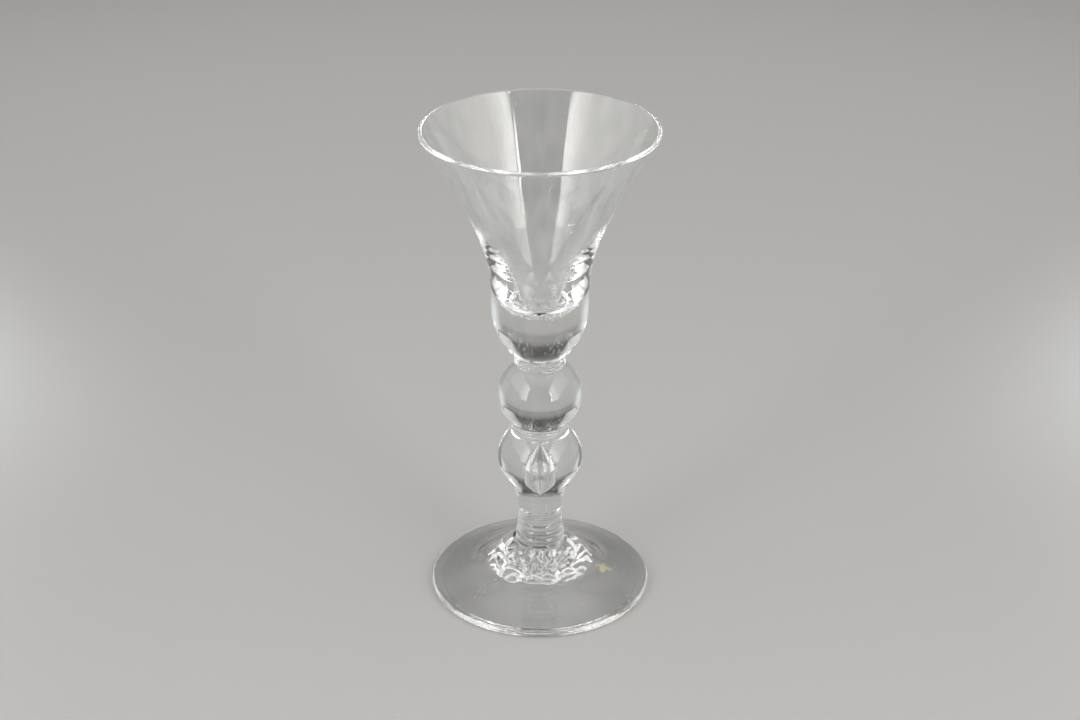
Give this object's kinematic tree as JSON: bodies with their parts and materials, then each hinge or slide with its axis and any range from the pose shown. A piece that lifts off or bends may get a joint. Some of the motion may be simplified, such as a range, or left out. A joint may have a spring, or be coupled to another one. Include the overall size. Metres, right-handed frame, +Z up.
{
  "type": "baluster wine glass",
  "caption": "Clear stemmed wine glass with a flared bell bowl on a thick solid base, a ball knop between collars, an inverted baluster stem holding an air tear, and a conical foot.",
  "frame": {"origin": "middle of the plane that the foot rests on, on the glass's axis", "axes": "+Z up along the axis of the glass; +X and +Y lie in the resting plane and are alike"},
  "size_m": [0.0738, 0.0738, 0.16],
  "materials": {
    "bowl_glass": "clear, fire polished, with faint upright striae",
    "collar_glass": "clear, tooled while hot, slightly crinkled",
    "stem_glass": "clear, thick, fire polished",
    "foot_glass": "clear, fire polished, with fine scratches and rest wear"
  },
  "bodies": {
    "root": {"foot": "foot_glass", "baluster_shank": "stem_glass", "baluster_head": "stem_glass", "lower_collar": "collar_glass", "ball_knop": "stem_glass", "upper_collar": "collar_glass", "bowl": "bowl_glass"}
  },
  "joints": []
}
